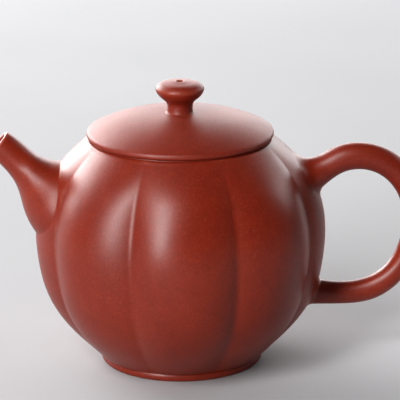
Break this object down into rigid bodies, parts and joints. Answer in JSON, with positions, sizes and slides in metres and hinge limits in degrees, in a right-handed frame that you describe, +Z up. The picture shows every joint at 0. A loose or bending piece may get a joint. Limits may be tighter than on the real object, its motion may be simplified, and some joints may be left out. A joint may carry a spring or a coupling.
{
  "type": "clay teapot",
  "caption": "Small round lobed clay teapot with a short spout, an ear-shaped loop handle, a lift-off domed lid with a mushroom knob, and a ball strainer inside.",
  "frame": {"origin": "centre of the foot ring, on the surface that the teapot stands on", "axes": "+Z up, +X from the pot's axis to the handle, -X to the spout, +Y to the far side"},
  "size_m": [0.1276, 0.084, 0.0831],
  "materials": {
    "body_clay": "unglazed red-brown stoneware, satin and finely grained",
    "lid_clay": "unglazed red-brown stoneware, satin and finely grained",
    "inner_clay": "unglazed red-brown stoneware, matt"
  },
  "bodies": {
    "pot": {"foot_ring": "body_clay", "base_disc": "body_clay", "body_wall": "body_clay", "shoulder_disc": "body_clay", "mouth_ring": "body_clay", "strainer_dome": "inner_clay", "spout": "body_clay", "handle": "body_clay"},
    "lid": {"lid_disc": "lid_clay", "lid_flange": "lid_clay", "knob": "lid_clay"}
  },
  "joints": [
    {"name": "lid_lift", "type": "slide", "parent": "pot", "child": "lid", "axis": [0, 0, 1], "range_m": [0, 0.06]}
  ]
}
